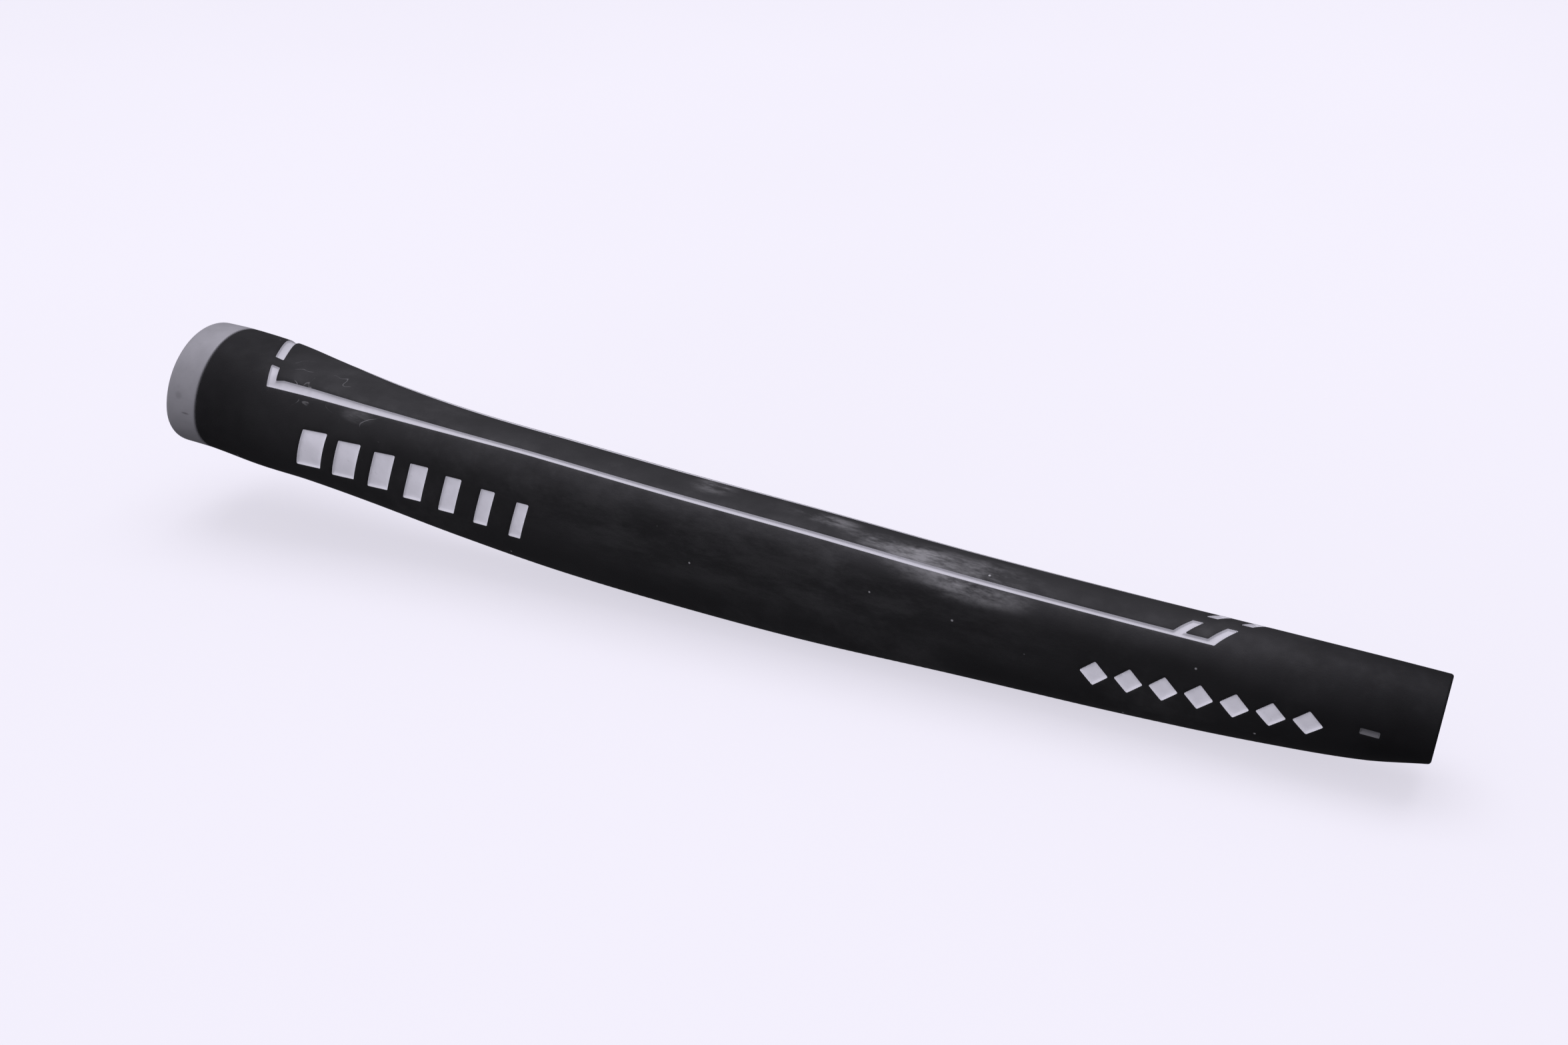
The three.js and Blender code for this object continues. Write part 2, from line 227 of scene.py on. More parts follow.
def smoothstep(x, low, high):
    t = np.clip((x - low) / (high - low), 0.0, 1.0)
    return t * t * (3.0 - 2.0 * t)


def lerp(a, b, t):
    return a + (b - a) * t


def column(which, x):
    """Smooth value of one station column at x, with the slopes of a Catmull-Rom curve."""
    xs = STATIONS[:, 0]
    ys = STATIONS[:, which]
    last = len(xs) - 1
    before = np.maximum(np.arange(last + 1) - 1, 0)
    after = np.minimum(np.arange(last + 1) + 1, last)
    slopes = (ys[after] - ys[before]) / (xs[after] - xs[before])
    i = np.clip(np.searchsorted(xs, x, side="right") - 1, 0, last - 1)
    span = xs[i + 1] - xs[i]
    t = np.clip((x - xs[i]) / span, 0.0, 1.0)
    t2 = t * t
    t3 = t2 * t
    start = (2 * t3 - 3 * t2 + 1) * ys[i] + (t3 - 2 * t2 + t) * span * slopes[i]
    end = (3 * t2 - 2 * t3) * ys[i + 1] + (t3 - t2) * span * slopes[i + 1]
    return start + end


def middle_share(x, start, end):
    """0 at both round ends of the grip and 1 between two places along it."""
    return smoothstep(x, CAP_WALL, start) * (1.0 - smoothstep(x, end, GRIP_LENGTH))


def section_radius(x, angle):
    """Radius of the skin at x, in the direction `angle` measured from +Z towards +Y."""
    up = np.cos(angle)
    across = np.abs(np.sin(angle))
    crest = column(CREST, x)
    half = column(HALF, x)
    height = np.where(up > 0, crest, column(DEPTH, x))
    shaped = middle_share(x, SHAPED_FROM, SHAPED_TO)
    flat = middle_share(x, FLAT_FROM, FLAT_TO)
    power = lerp(2.0, np.where(up > 0, THUMB_POWER, BELLY_POWER), shaped)
    body = ((across / half) ** power + (np.abs(up) / height) ** power) ** (-1.0 / power)
    panel = half * lerp(PANEL_CLEAR, PANEL_SHARE, shaped)
    thumb = crest * lerp(THUMB_CLEAR, THUMB_SHARE, flat)
    cuts = (across / panel) ** PANEL_POWER + (np.maximum(up, 0.0) / thumb) ** PANEL_POWER
    return (body ** -PANEL_POWER + cuts) ** (-1.0 / PANEL_POWER)


def lean(x, z):
    """How far the butt face's tilt moves a point along x."""
    return BUTT_TILT * z * (1.0 - smoothstep(x, 0.0, TILT_FADE))


def polar(x, angle, radius):
    """Points at these radii from the bore axis, in the frame's metres."""
    x, angle, radius = np.broadcast_arrays(x, angle, radius)
    z = radius * np.cos(angle)
    y = radius * np.sin(angle)
    return metres(np.stack([x + lean(x, z), y, z], axis=-1))


def skin(x, angle, inset=0.0):
    """Points on the skin, drawn in towards the bore axis by `inset`."""
    return polar(x, angle, section_radius(x, angle) - inset - SKIN_CLEAR)


def metres(points):
    """Millimetres from the butt end and the bore axis to the frame's metres."""
    return points / 1000.0 + FRAME_SHIFT


mouth_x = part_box("sleeve")[1].x
axis_z = STATIONS[:, DEPTH].max() / 1000.0
FRAME_SHIFT = np.array((mouth_x - GRIP_LENGTH / 1000.0, 0.0, axis_z))


# Unrolled skin: x against s, the distance round the section from the crest, negative towards -Y --

def make_arc_table():
    """Distances round the section from the crest, in a row for each TABLE_X."""
    x, angle = np.meshgrid(TABLE_X, TABLE_ANGLE, indexing="ij")
    radius = section_radius(x, angle)
    y = radius * np.sin(angle)
    z = radius * np.cos(angle)
    steps = np.hypot(np.diff(y, axis=1), np.diff(z, axis=1))
    return np.concatenate([np.zeros((len(TABLE_X), 1)), np.cumsum(steps, axis=1)], axis=1)


ARC_TABLE = make_arc_table()


def arc_row(x):
    """Distances round the section at x, one for each TABLE_ANGLE."""
    i = min(max(int(x), 0), len(TABLE_X) - 2)
    return lerp(ARC_TABLE[i], ARC_TABLE[i + 1], x - TABLE_X[i])


def unroll(x, angle):
    return x, math.copysign(np.interp(abs(angle), TABLE_ANGLE, arc_row(x)), angle)


def roll_up(x, s):
    return x, math.copysign(np.interp(abs(s), arc_row(x), TABLE_ANGLE), s)


def from_above(x, y):
    """Unrolled place of the thumb-side point seen at (x, y) from above.

    The butt's lean moves the point by its height, so a few passes close in on its place.
    """
    place = x
    for _ in range(3):
        radius = section_radius(np.full_like(THUMB_ANGLE, place), THUMB_ANGLE)
        angle = np.interp(abs(y), radius * np.sin(THUMB_ANGLE), THUMB_ANGLE)
        z = np.interp(angle, THUMB_ANGLE, radius * np.cos(THUMB_ANGLE))
        place = x - lean(place, z)
    return unroll(place, math.copysign(angle, y))


def from_side(x, z):
    """Unrolled place of the -Y flank's point seen at (x, z) from the side."""
    place = x - lean(x, z)
    radius = section_radius(np.full_like(TABLE_ANGLE, place), TABLE_ANGLE)
    heights = radius * np.cos(TABLE_ANGLE)
    angle = np.interp(-z, -heights, TABLE_ANGLE)
    return unroll(place, -angle)


# Outlines of the recesses ------------------------------------------------------------------------

def outline_half(x):
    """How far the outline's outer edge stands from the crest at x."""
    t = (x - OUTLINE_START) / (OUTLINE_NARROWS_TO - OUTLINE_START)
    return lerp(OUTLINE_WAIST, OUTLINE_BUTT, (1.0 - np.clip(t, 0.0, 1.0)) ** 2)


def line_width(x):
    """Width of the outline's long lines at x."""
    butt_part = lerp(LINE_BUTT, LINE_WAIST, smoothstep(x, OUTLINE_START, OUTLINE_NARROWS_TO))
    return butt_part - (LINE_WAIST - LINE_MOUTH) * smoothstep(x, *LINE_THINS)


def outline_side(side):
    """Plan loop of one side of the outline: a long line and the three bars that run into it.

    Points are (x, distance from the crest towards that side), and side is -1 for -Y and +1 for +Y.
    """
    def bar_edges(bar, centre):
        """Both long edges of a bar, butt side first, each from the line out to the bar's end."""
        half = bar["width"] / 2.0
        end = bar["near_end"] if side < 0 else bar["far_end"]
        end *= side
        tilt = bar["slant"] * side
        inner = outline_half(centre) - line_width(centre)
        butt_side = [(centre - half + tilt * d, d) for d in (inner, end)]
        mouth_side = [(centre + half + tilt * d, d) for d in (inner, end)]
        return butt_side, mouth_side

    first = bar_edges(BUTT_BAR, BUTT_BAR["x"])
    second, third = (bar_edges(MOUTH_BAR, x) for x in MOUTH_BARS)
    x_start = BUTT_BAR["x"] - BUTT_BAR["width"] / 2.0 + BUTT_BAR["slant"] * side * OUTLINE_BUTT
    x_end = MOUTH_BARS[1] + MOUTH_BAR["width"] / 2.0 + MOUTH_BAR["slant"] * side * OUTLINE_WAIST
    outer = [(x, outline_half(x)) for x in np.linspace(x_start, x_end, LINE_POINTS)]

    def inner_run(from_x, to_x, count):
        """Points along the long line's inner edge, between two bars."""
        xs = np.linspace(from_x, to_x, count)[1:-1]
        return [(x, outline_half(x) - line_width(x)) for x in xs]

    loop = outer
    loop += [third[1][1], third[0][1], third[0][0]]
    loop += inner_run(third[0][0][0], second[1][0][0], BETWEEN_BARS)
    loop += [second[1][0], second[1][1], second[0][1], second[0][0]]
    loop += inner_run(second[0][0][0], first[1][0][0], LINE_POINTS)
    loop += [first[1][0], first[1][1], first[0][1]]
    return [from_above(x, side * d) for x, d in split_edges(loop, EDGE_STEP)]


def flank_loop(corners):
    """The unrolled loop of a straight-edged mark seen from the side."""
    return [from_side(x, z) for x, z in split_edges(corners, EDGE_STEP)]


def row_bar(i):
    """Side loop of one slanted bar of the row near the butt."""
    row = BAR_ROW
    pitch = (row["to"] - row["from"]) / row["count"]
    share = i / (row["count"] - 1)
    x = row["from"] + pitch * i
    z = lerp(row["z"][0], row["z"][1], share)
    width = pitch * lerp(*BAR_WIDTHS, share)
    half = row["height"] / 2.0
    slope = row["lean"]
    return flank_loop([
        (x - slope, z - half),
        (x - slope + width, z - half),
        (x + slope + width, z + half),
        (x + slope, z + half),
    ])


def row_diamond(i):
    """Side loop of one diamond of the row near the mouth."""
    row = DIAMOND_ROW
    pitch = (row["to"] - row["from"]) / row["count"]
    x = row["from"] + pitch * (i + 0.5)
    z = lerp(row["z"][0], row["z"][1], i / (row["count"] - 1))
    half = row["height"] / 2.0
    return flank_loop([(x - half, z), (x, z - half), (x + half, z), (x, z + half)])


def patch_loop():
    """Side loop of the small rectangle at the mouth."""
    x0, x1, low, high = PATCH["from"], PATCH["to"], PATCH["low"], PATCH["high"]
    return flank_loop([(x0, low), (x1, low), (x1, high), (x0, high)])


def split_edges(loop, longest):
    """The loop with points added so that no edge is longer than `longest`."""
    out = []
    for a, b in zip(loop, loop[1:] + loop[:1]):
        count = max(1, math.ceil(math.dist(a, b) / longest))
        out += [(lerp(a[0], b[0], k / count), lerp(a[1], b[1], k / count)) for k in range(count)]
    return out


def signed_area(loop):
    return 0.5 * sum(a[0] * b[1] - b[0] * a[1] for a, b in zip(loop, loop[1:] + loop[:1]))


def offset_loop(loop, distance):
    """The loop moved in by `distance`, with sharp corners kept sharp."""
    turn = 1.0 if signed_area(loop) > 0 else -1.0
    points = [Vector(p) for p in loop]
    out = []
    for i, p in enumerate(points):
        into = (p - points[i - 1]).normalized()
        onward = (points[(i + 1) % len(points)] - p).normalized()
        normal_in = Vector((-into.y, into.x)) * turn
        normal_on = Vector((-onward.y, onward.x)) * turn
        middle = normal_in + normal_on
        out.append(p + middle * (distance / (0.5 * middle.length_squared)))
    return [(p.x, p.y) for p in out]


def round_corners(loop, radius):
    """The loop with each real corner turned into a short curve."""
    points = [Vector(p) for p in loop]
    out = []
    for i, p in enumerate(points):
        back = points[i - 1] - p
        ahead = points[(i + 1) % len(points)] - p
        bend = math.pi - back.angle(ahead)
        if bend < CORNER_BEND:
            out.append(p)
            continue
        longest = CORNER_EDGE_SHARE * min(back.length, ahead.length)
        reach = min(radius * math.tan(bend / 2.0), longest)
        start = p + back.normalized() * reach
        end = p + ahead.normalized() * reach
        for k in range(ROUND_STEPS + 1):
            t = k / ROUND_STEPS
            out.append(start * (1 - t) ** 2 + p * (2 * t * (1 - t)) + end * t ** 2)
    return [(p.x, p.y) for p in out]


def wall_loop(loop, inset):
    """One level line of a recess wall, in (x, angle)."""
    moved = offset_loop(loop, inset)
    rounded = round_corners(moved, max(CORNER_ROUND - inset, CORNER_ROUND_LEAST))
    return [roll_up(x, s) for x, s in split_edges(rounded, LOOP_STEP)]


def make_recesses():
    """Each recess: its CAD node, its kind of paint and its unrolled outline."""
    recesses = [
        ("outline_near", "outline", outline_side(-1)),
        ("outline_far", "outline", outline_side(1)),
        ("flank_patch", "patch", patch_loop()),
    ]
    for kind, row, make_loop in (("bar", BAR_ROW, row_bar), ("diamond", DIAMOND_ROW, row_diamond)):
        recesses += [(f"flank_{kind}_{i + 1}", "mark", make_loop(i)) for i in range(row["count"])]
    return recesses


# Meshes ------------------------------------------------------------------------------------------

class Sheet:
    """Points on the unrolled skin, each with a depth, and the closed loops that they must keep."""

    def __init__(self):
        self.places = []
        self.depths = []
        self.edges = []

    def add_points(self, places, depth):
        first = len(self.places)
        self.places += places
        self.depths += [depth] * len(places)
        return list(range(first, len(self.places)))

    def add_loop(self, places, depth):
        ring = self.add_points(places, depth)
        self.edges += list(zip(ring, ring[1:] + ring[:1]))
        return ring

    def triangles(self):
        """Delaunay triangles that keep the loops.

        Gives each point's (x, angle) and depth, the triangles, and each point's index here.
        """
        flat = [Vector((x, angle * ANGLE_SCALE)) for x, angle in self.places]
        result = geometry.delaunay_2d_cdt(flat, self.edges, [], 0, SAME_POINT)
        points, _, faces, sources = result[:4]
        kept = [source[0] for source in sources]
        places = np.array([(p.x, p.y / ANGLE_SCALE) for p in points])
        depths = np.array([self.depths[k] for k in kept])
        return places, depths, [tuple(face) for face in faces], kept


def inside(loop, places):
    """Which of the places lie inside the closed loop, by the even-odd rule."""
    x, y = places[:, 0], places[:, 1]
    odd = np.zeros(len(places), bool)
    for (ax, ay), (bx, by) in zip(loop, loop[1:] + loop[:1]):
        if ay == by:
            continue
        spans = (y > min(ay, by)) & (y <= max(ay, by))
        odd ^= spans & (x < ax + (y - ay) * (bx - ax) / (by - ay))
    return odd


def grid_places(x_values, keep_off, clearance):
    """A staggered grid of places at these x values, clear of the places in keep_off."""
    tree = kdtree.KDTree(len(keep_off))
    for i, (x, angle) in enumerate(keep_off):
        tree.insert((x, angle * ANGLE_SCALE, 0.0), i)
    tree.balance()
    pitch = 2.0 * math.pi / RING
    grid = []
    for row, x in enumerate(x_values):
        shift = 0.5 * (row % 2)
        for j in range(1, RING):
            angle = -math.pi + pitch * (j - shift)
            if tree.find((x, angle * ANGLE_SCALE, 0.0))[2] > clearance:
                grid.append((x, angle))
    return grid


def new_piece(name, points, faces):
    """Closed, smooth-shaded mesh object whose faces point out."""
    mesh = bpy.data.meshes.new(name)
    work = bmesh.new()
    verts = [work.verts.new(p) for p in points]
    for face in faces:
        corners = [verts[i] for i in face]
        if len(set(corners)) > 2:
            work.faces.new(corners)
    bmesh.ops.remove_doubles(work, verts=work.verts, dist=SAME_POINT)
    bmesh.ops.recalc_face_normals(work, faces=work.faces)
    work.to_mesh(mesh)
    work.free()
    mesh.shade_smooth()
    mesh.set_sharp_from_angle(angle=SHARP_ANGLE)
    piece = bpy.data.objects.new(name, mesh)
    bpy.context.scene.collection.objects.link(piece)
    return piece


def bridge(first, second, count):
    """Quads between two rings of `count` points that start at these indices."""
    return [
        (first + j, first + (j + 1) % count, second + (j + 1) % count, second + j)
        for j in range(count)
    ]


def quarter(radius, steps=ROUND_STEPS):
    """(along, inward) steps of a quarter round, from the face's plane to the side wall."""
    turns = [math.pi / 2.0 * k / steps for k in range(steps + 1)]
    return [(radius * (1 - math.cos(t)), radius * (1 - math.sin(t))) for t in turns]


def bore_radius(at):
    return BORE_BUTT - (BORE_BUTT - BORE_MOUTH) / GRIP_LENGTH * at


def recess_sheet(loop, wall, floor, sheet):
    """Adds one recess's wall loops and floor points to the sheet, and returns its first loop."""
    rings = [sheet.add_loop(wall_loop(loop, inset), depth) for inset, depth in wall]
    floor_loop = wall_loop(loop, wall[-1][0] + FLOOR_MARGIN)
    sheet.add_loop(floor_loop, floor)
    xs = [x for x, _ in floor_loop]
    grid = grid_places(np.arange(min(xs), max(xs), SKIN_STEP), floor_loop, SKIN_CLEARANCE)
    if grid:
        within = inside(floor_loop, np.array(grid))
        sheet.add_points([place for place, kept in zip(grid, within) if kept], floor)
    return rings[0]


def make_sleeve(recesses):
    """The rubber sleeve: a triangulated skin with recesses, closed by its rims and bore."""
    x0 = SLEEVE_START + JOINT_ROUND
    x1 = GRIP_LENGTH - MOUTH_ROUND
    sheet = Sheet()
    rims = [recess_sheet(loop, RUBBER_WALL, RUBBER_FLOOR, sheet) for _, _, loop in recesses]
    x_values = np.linspace(x0, x1, round((x1 - x0) / SKIN_STEP) + 1)
    grid = grid_places(x_values[1:-1], sheet.places, SKIN_CLEARANCE)
    places = np.array(grid)
    outside = np.ones(len(grid), bool)
    for rim in rims:
        outside &= ~inside([sheet.places[k] for k in rim], places)
    sheet.add_points([place for place, kept in zip(grid, outside) if kept], 0.0)
    for x in (x0, x1):
        sheet.add_points([(x, a) for a in np.append(RING_ANGLES, math.pi)], 0.0)
    for x in x_values[1:-1]:
        sheet.add_points([(x, -math.pi), (x, math.pi)], 0.0)
    places, depths, faces, _ = sheet.triangles()
    points = list(skin(places[:, 0], places[:, 1], depths))

    def add_ring(ring):
        first = len(points)
        points.extend(ring)
        return first

    rings = [skin(x0, RING_ANGLES)]
    rings += [skin(SLEEVE_START + a, RING_ANGLES, b) for a, b in reversed(quarter(JOINT_ROUND))]
    for a, b in quarter(BORE_LIP):
        rings.append(polar(SLEEVE_START + a, RING_ANGLES, bore_radius(SLEEVE_START) + b))
    for at in np.linspace(SLEEVE_START + BORE_INSET, GRIP_LENGTH - BORE_INSET, BORE_RINGS):
        rings.append(polar(at, RING_ANGLES, bore_radius(at)))
    for a, b in reversed(quarter(BORE_LIP)):
        rings.append(polar(GRIP_LENGTH - a, RING_ANGLES, bore_radius(GRIP_LENGTH) + b))
    rings += [skin(GRIP_LENGTH - a, RING_ANGLES, b) for a, b in quarter(MOUTH_ROUND)]
    starts = [add_ring(ring) for ring in rings]
    for a, b in zip(starts, starts[1:]):
        faces += bridge(a, b, RING)
    return new_piece("sleeve_rubber", points, faces)


def upright(at, radius):
    """A ring square to the bore, without the butt face's lean."""
    y = radius * np.sin(RING_ANGLES)
    z = radius * np.cos(RING_ANGLES)
    return metres(np.stack([np.full(RING, at), y, z], axis=-1))


def make_cap():
    """The butt cap: a disc with a rounded edge and a shallow dish, its plug, and the air hole."""
    rings = []
    rim = section_radius(np.zeros(RING), RING_ANGLES) - CAP_EDGE - SKIN_CLEAR
    for share in CAP_FACE_SHARES:
        radius = lerp(VENT_RADIUS + VENT_CHAMFER_OUTER, rim, share)
        sunk = CAP_DISH * (1.0 - smoothstep(share, *CAP_DISH_EDGE))
        rings.append(polar(CAP_FACE + sunk, RING_ANGLES, radius))
    rounded = quarter(CAP_EDGE, CAP_EDGE_STEPS)[1:]
    rings += [skin(CAP_FACE + a, RING_ANGLES, b) for a, b in rounded]
    wall_end = CAP_WALL - JOINT_GAP / 2.0
    first = CAP_FACE + CAP_EDGE + CAP_WALL_INSET
    last = wall_end - CAP_WALL_INSET
    rings += [skin(at, RING_ANGLES) for at in np.linspace(first, last, CAP_WALL_RINGS)]
    rings += [skin(wall_end - a, RING_ANGLES, b) for a, b in reversed(quarter(JOINT_ROUND))]
    rings += [
        polar(wall_end, RING_ANGLES, PLUG_RADIUS + PLUG_ROOT),
        polar(wall_end + PLUG_ROOT, RING_ANGLES, PLUG_RADIUS),
        upright(PLUG_END - PLUG_CHAMFER, PLUG_RADIUS),
        upright(PLUG_END, PLUG_RADIUS - PLUG_CHAMFER),
        upright(PLUG_END, VENT_RADIUS + VENT_CHAMFER_INNER),
        upright(PLUG_END - VENT_CHAMFER_INNER, VENT_RADIUS),
        polar(CAP_FACE + CAP_DISH + VENT_CHAMFER_OUTER, RING_ANGLES, VENT_RADIUS),
    ]
    points = [p for ring in rings for p in ring]
    faces = []
    for k in range(len(rings)):
        faces += bridge(k * RING, (k + 1) % len(rings) * RING, RING)
    return new_piece("butt_cap_moulding", points, faces)


def make_paint(node, loop):
    """The paint lining of one recess: a thin closed shell over its walls and floor."""
    sheet = Sheet()
    rim = recess_sheet(loop, PAINT_WALL, PAINT_FLOOR, sheet)
    places, depths, faces, kept = sheet.triangles()
    middles = np.array([places[list(face)].mean(axis=0) for face in faces])
    within = inside([sheet.places[k] for k in rim], middles)
    faces = [face for face, keep in zip(faces, within) if keep]
    count = len(places)
    top = skin(places[:, 0], places[:, 1], depths)
    bottom = skin(places[:, 0], places[:, 1], depths + PAINT_THICK)
    place_of = {source: i for i, source in enumerate(kept)}
    shell = faces + [tuple(i + count for i in reversed(face)) for face in faces]
    for a, b in zip(rim, rim[1:] + rim[:1]):
        a, b = place_of[a], place_of[b]
        shell.append((a, b, b + count, a + count))
    return new_piece(node + "_paint", list(top) + list(bottom), shell)


# Materials ---------------------------------------------------------------------------------------

class Nodes:
    """Short ways to add and link the nodes of one material."""

    def __init__(self, name):
        self.material = bpy.data.materials.new(name)
        self.material.use_nodes = True
        self.tree = self.material.node_tree
        self.shader = self.tree.nodes["Principled BSDF"]
        self.place = self.add("ShaderNodeTexCoord").outputs["Object"]

    def add(self, kind, settings=None, **inputs):
        node = self.tree.nodes.new(kind)
        for key, value in (settings or {}).items():
            setattr(node, key, value)
        for key, value in inputs.items():
            self.feed(node.inputs[key.replace("_", " ")], value)
        return node

    def feed(self, socket, value):
        if isinstance(value, bpy.types.NodeSocket):
            self.tree.links.new(value, socket)
        else:
            socket.default_value = value

    def math(self, operation, a, b=0.0):
        node = self.add("ShaderNodeMath", {"operation": operation})
        self.feed(node.inputs[0], a)
        self.feed(node.inputs[1], b)
        return node.outputs[0]

    def stretched(self, scale):
        """The object's coordinates, scaled by a different amount along each axis."""
        node = self.add("ShaderNodeVectorMath", {"operation": "MULTIPLY"})
        self.feed(node.inputs[0], self.place)
        node.inputs[1].default_value = scale
        return node.outputs[0]

    def noise(self, scale, detail=3.0, rough=0.5, stretch=(1.0, 1.0, 1.0)):
        node = self.add("ShaderNodeTexNoise", Scale=scale, Detail=detail, Roughness=rough)
        self.feed(node.inputs["Vector"], self.stretched(stretch))
        return node.outputs["Fac"]

    def remap(self, value, low, high, to_low=0.0, to_high=1.0):
        node = self.add("ShaderNodeMapRange", {"interpolation_type": "SMOOTHSTEP"})
        for key, item in (("Value", value), ("From Min", low), ("From Max", high)):
            self.feed(node.inputs[key], item)
        node.inputs["To Min"].default_value = to_low
        node.inputs["To Max"].default_value = to_high
        return node.outputs[0]

    def specks(self, scale, size, share):
        """Small round dots, one at most to a cell, kept in `share` of the cells."""
        cells = self.add("ShaderNodeTexVoronoi", Vector=self.place, Scale=scale)
        dot = self.remap(cells.outputs["Distance"], size, size * 0.4)
        pick = self.add("ShaderNodeSeparateColor", Color=cells.outputs["Color"]).outputs[0]
        return self.math("MULTIPLY", dot, self.math("LESS_THAN", pick, share))

    def patch(self, centre, radii):
        """1 at the centre of an ellipsoid, fading to 0 at its edge."""
        shift = self.add("ShaderNodeVectorMath", {"operation": "SUBTRACT"})
        self.feed(shift.inputs[0], self.place)
        shift.inputs[1].default_value = centre
        shrink = self.add("ShaderNodeVectorMath", {"operation": "DIVIDE"})
        self.feed(shrink.inputs[0], shift.outputs[0])
        shrink.inputs[1].default_value = radii
        size = self.add("ShaderNodeVectorMath", {"operation": "LENGTH"})
        self.feed(size.inputs[0], shrink.outputs[0])
        return self.remap(size.outputs["Value"], 1.0, 0.25)

    def patches(self, marks):
        """The sum of soft patches at these (x, degrees) places, each with its weight."""
        total = 0.0
        for place, radii, weight in marks:
            soft = self.math("MULTIPLY", self.patch(on_skin(*place), radii), weight)
            total = self.math("ADD", total, soft)
        return total

    def mix(self, share, a, b):
        """Colour a where share is 0 and colour b where it is 1."""
        node = self.add("ShaderNodeMix", {"data_type": "RGBA"})
        self.feed(node.inputs["Factor"], share)
        self.feed(node.inputs[6], a)
        self.feed(node.inputs[7], b)
        return node.outputs[2]

    def bump(self, height, distance, strength=1.0, below=None):
        node = self.add("ShaderNodeBump", Strength=strength, Distance=distance, Height=height)
        if below is not None:
            self.feed(node.inputs["Normal"], below)
        return node.outputs["Normal"]

    def finish(self, colour, roughness, normal, specular=0.5):
        self.feed(self.shader.inputs["Base Color"], colour)
        self.feed(self.shader.inputs["Roughness"], roughness)
        self.feed(self.shader.inputs["Normal"], normal)
        self.feed(self.shader.inputs["Specular IOR Level"], specular)
        return self.material


def grey(value, blue=1.04):
    return (value, value, value * blue, 1.0)


def on_skin(x, angle_degrees):
    """The frame's place of a point on the skin, for a material's patches."""
    return tuple(float(v) for v in skin(x, math.radians(angle_degrees)))


def rubber_material():
    """Black moulded rubber with fine grain, a dust film, smears, specks, scratches and a paler
    mid-flank.
    """
    n = Nodes("grip_rubber")
    mottle = n.noise(70.0, 4.0, 0.6)
    dark, light = (grey(tone, 1.05) for tone in RUBBER_TONES)
    base = n.mix(n.remap(mottle, 0.35, 0.7), dark, light)
    streaks = n.noise(160.0, 5.0, 0.75, stretch=(0.35, 1.0, 1.0))
    dust_and_pale_flank = n.math("MULTIPLY", n.patches(SMEARS_AND_PALE_FLANK), n.remap(streaks, 0.36, 0.7))
    film = n.math("MULTIPLY", n.remap(n.noise(38.0, 5.0, 0.7), 0.5, 0.8), FILM_STRENGTH)
    dust_and_pale_flank = n.math("MINIMUM", n.math("ADD", dust_and_pale_flank, film), 1.0)
    dust_colour = grey(DUST_TONE, 1.0)
    colour = n.mix(n.math("MULTIPLY", dust_and_pale_flank, DUST_STRENGTH), base, dust_colour)
    scratched = n.math("MINIMUM", n.patches(SCRATCHED), 1.0)
    curves = n.math("ABSOLUTE", n.math("SUBTRACT", n.noise(210.0, 1.0, 0.4), 0.5))
    scratches = n.math("MULTIPLY", n.remap(curves, 0.008, 0.001), scratched)
    scratches = n.math("MULTIPLY", scratches, n.remap(n.noise(320.0, 2.0), 0.48, 0.6))
    colour = n.mix(n.math("MULTIPLY", scratches, SCRATCH_STRENGTH), colour, dust_colour)
    specks = n.math("MULTIPLY", n.specks(420.0, 0.13, 0.03), SPECK_STRENGTH)
    colour = n.mix(specks, colour, grey(SPECK_TONE, 1.0))
    roughness = n.remap(n.noise(220.0, 3.0), 0.3, 0.7, 0.56, 0.68)
    waves = n.bump(n.noise(55.0, 2.0), 0.0004, 0.15)
    grain = n.bump(n.noise(2600.0, 2.0, 0.6), 0.00006, 0.5, below=waves)
    along = n.add("ShaderNodeSeparateXYZ", Vector=n.place).outputs[0]
    sheen = n.remap(n.math("ABSOLUTE", along), *SHEEN_FADE, SHEEN_MIDDLE, SHEEN_ENDS)
    return n.finish(colour, roughness, grain, sheen)


def cap_material():
    """Satin grey moulded cap with faint mottling and a few dark rub marks."""
    n = Nodes("cap_grey")
    mottle = n.noise(120.0, 4.0, 0.6)
    dark, light = (grey(tone) for tone in CAP_TONES)
    base = n.mix(n.remap(mottle, 0.35, 0.7), dark, light)
    grime = n.math("MULTIPLY", n.remap(n.noise(300.0, 5.0, 0.7), 0.55, 0.8), GRIME_STRENGTH)
    rubbed = n.math("MINIMUM", n.math("ADD", n.patches(CAP_RUBS), grime), 1.0)
    colour = n.mix(rubbed, base, grey(CAP_RUB_TONE))
    roughness = n.remap(mottle, 0.3, 0.7, 0.42, 0.55)
    grain = n.bump(n.noise(1800.0, 2.0, 0.5), 0.00005, 0.3)
    return n.finish(colour, roughness, grain)


def paint_material(name, tone, worn):
    """Paint fill: slightly uneven, thin in spots where the rubber greys it."""
    n = Nodes(name)
    patchy = n.remap(n.noise(240.0, 4.0, 0.6), 0.35, 0.7)
    base = n.mix(patchy, grey(tone * 0.93), grey(tone))
    thin = n.math("MULTIPLY", n.remap(n.noise(900.0, 4.0, 0.7), 0.6, 0.78), worn)
    colour = n.mix(thin, base, grey(tone * 0.35))
    roughness = n.remap(patchy, 0.0, 1.0, 0.45, 0.6)
    grain = n.bump(n.noise(1500.0, 2.0, 0.5), 0.00004, 0.35)
    return n.finish(colour, roughness, grain)


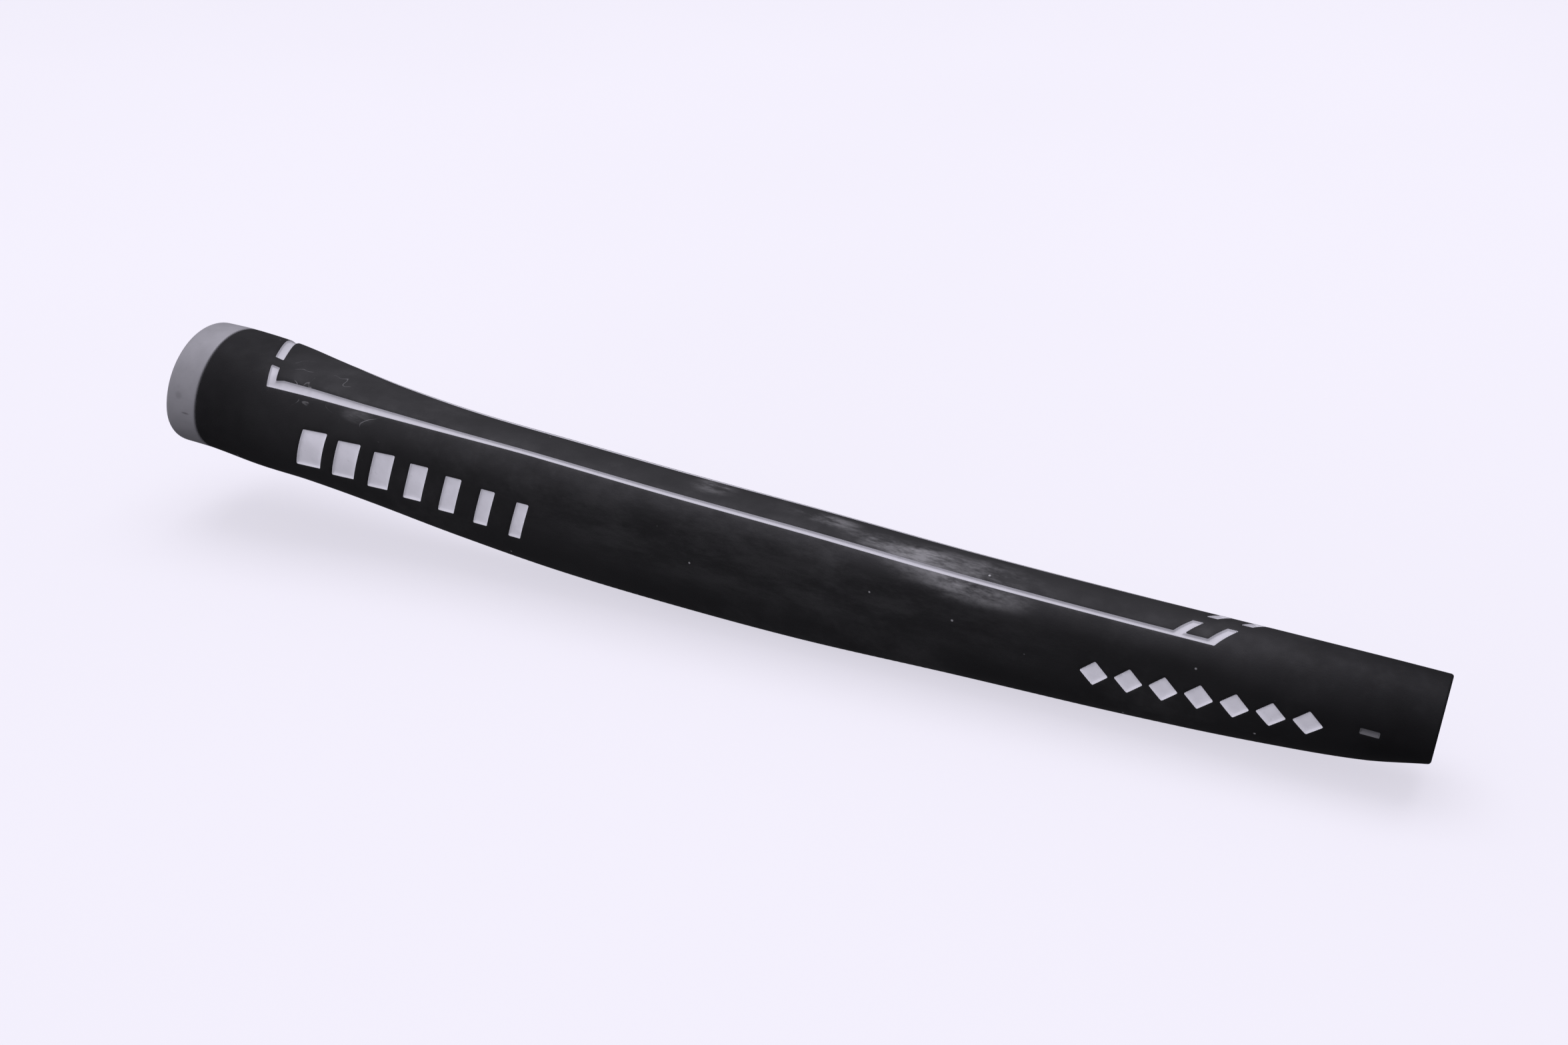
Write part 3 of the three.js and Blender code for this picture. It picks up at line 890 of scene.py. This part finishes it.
def floor_material():
    """Pale card whose slight glow keeps the shadow on it light."""
    n = Nodes("pale_floor")
    dark, light = (grey(tone, 1.0) for tone in FLOOR_TONES)
    colour = n.mix(n.remap(n.noise(3.0, 2.0), 0.3, 0.7), dark, light)
    n.feed(n.shader.inputs["Emission Color"], (*LIGHT_TINT, 1.0))
    n.feed(n.shader.inputs["Emission Strength"], FLOOR_GLOW)
    grain = n.bump(n.noise(900.0, 2.0), 0.00005, 0.1)
    return n.finish(colour, FLOOR_ROUGHNESS, grain, FLOOR_SPECULAR)


# Stage -------------------------------------------------------------------------------------------

def aimed(place, target):
    """The matrix of a camera or lamp at `place` that looks at `target`."""
    place = Vector(place)
    turn = (Vector(target) - place).to_track_quat("-Z", "Y")
    return Matrix.Translation(place) @ turn.to_matrix().to_4x4()


def make_camera():
    data = bpy.data.cameras.new("camera")
    data.lens = CAMERA_LENS
    data.sensor_width = 36.0
    data.clip_start = 0.01
    camera = bpy.data.objects.new("camera", data)
    bpy.context.scene.collection.objects.link(camera)
    roll = Matrix.Rotation(math.radians(CAMERA_ROLL), 4, "Z")
    camera.matrix_world = aimed(CAMERA_PLACE, CAMERA_TARGET) @ roll
    bpy.context.scene.camera = camera


def make_floor():
    """A floor that touches the belly and rises a little towards the mouth, as the grip lies."""
    slope = math.tan(FLOOR_TILT)
    at = np.arange(0.0, GRIP_LENGTH, 1.0)
    under = metres(np.stack([at, at * 0.0, -column(DEPTH, at)], axis=-1))
    level = (under[:, 2] - slope * under[:, 0]).min() - FLOOR_DROP
    corners = [(FLOOR_REACH * i, FLOOR_REACH * j) for i, j in ((-1, -1), (1, -1), (1, 1), (-1, 1))]
    mesh = bpy.data.meshes.new("floor")
    mesh.from_pydata([(x, y, level + slope * x) for x, y in corners], [], [(0, 1, 2, 3)])
    floor = bpy.data.objects.new("floor", mesh)
    bpy.context.scene.collection.objects.link(floor)
    mesh.materials.append(floor_material())
    floor.visible_diffuse = False  # the floor's glow doesn't light the underside
    floor.visible_glossy = False


def make_lamp(name, place, size, power):
    data = bpy.data.lights.new(name, "AREA")
    data.shape = "RECTANGLE"
    data.size, data.size_y = size
    data.energy = power
    data.color = LIGHT_TINT
    lamp = bpy.data.objects.new(name, data)
    bpy.context.scene.collection.objects.link(lamp)
    lamp.matrix_world = aimed(place, (0.0, 0.0, 0.0))


def make_light():
    """A sky that is brightest overhead and towards the viewer, and a large soft lamp overhead."""
    world = bpy.data.worlds.new("studio")
    bpy.context.scene.world = world
    world.use_nodes = True
    tree = world.node_tree
    direction = tree.nodes.new("ShaderNodeTexCoord")
    along_axis = tree.nodes.new("ShaderNodeVectorMath")
    along_axis.operation = "DOT_PRODUCT"
    ramp = tree.nodes.new("ShaderNodeMapRange")
    tree.links.new(direction.outputs["Generated"], along_axis.inputs[0])
    along_axis.inputs[1].default_value = SKY_AXIS
    tree.links.new(along_axis.outputs["Value"], ramp.inputs["Value"])
    for key, value in SKY_RAMP.items():
        ramp.inputs[key].default_value = value
    sky = tree.nodes["Background"]
    sky.inputs["Color"].default_value = (*LIGHT_TINT, 1.0)
    tree.links.new(ramp.outputs[0], sky.inputs["Strength"])
    make_lamp("overhead", LAMP_PLACE, LAMP_SIZE, LAMP_POWER)
    bpy.context.scene.view_settings.view_transform = "Standard"


# Build -------------------------------------------------------------------------------------------

def hand_over(piece, node, material):
    """Gives a piece its material, hangs it under the root body and hides the CAD node it stands
    for.
    """
    piece.data.materials.append(material)
    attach(piece, "root")
    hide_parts(node)


make_camera()
recesses = make_recesses()
hand_over(make_sleeve(recesses), "sleeve", rubber_material())
hand_over(make_cap(), "butt_cap", cap_material())
paints = {kind: paint_material(kind + "_paint", *look) for kind, look in PAINTS.items()}
for node, kind, loop in recesses:
    hand_over(make_paint(node, loop), node, paints[kind])
make_floor()
make_light()
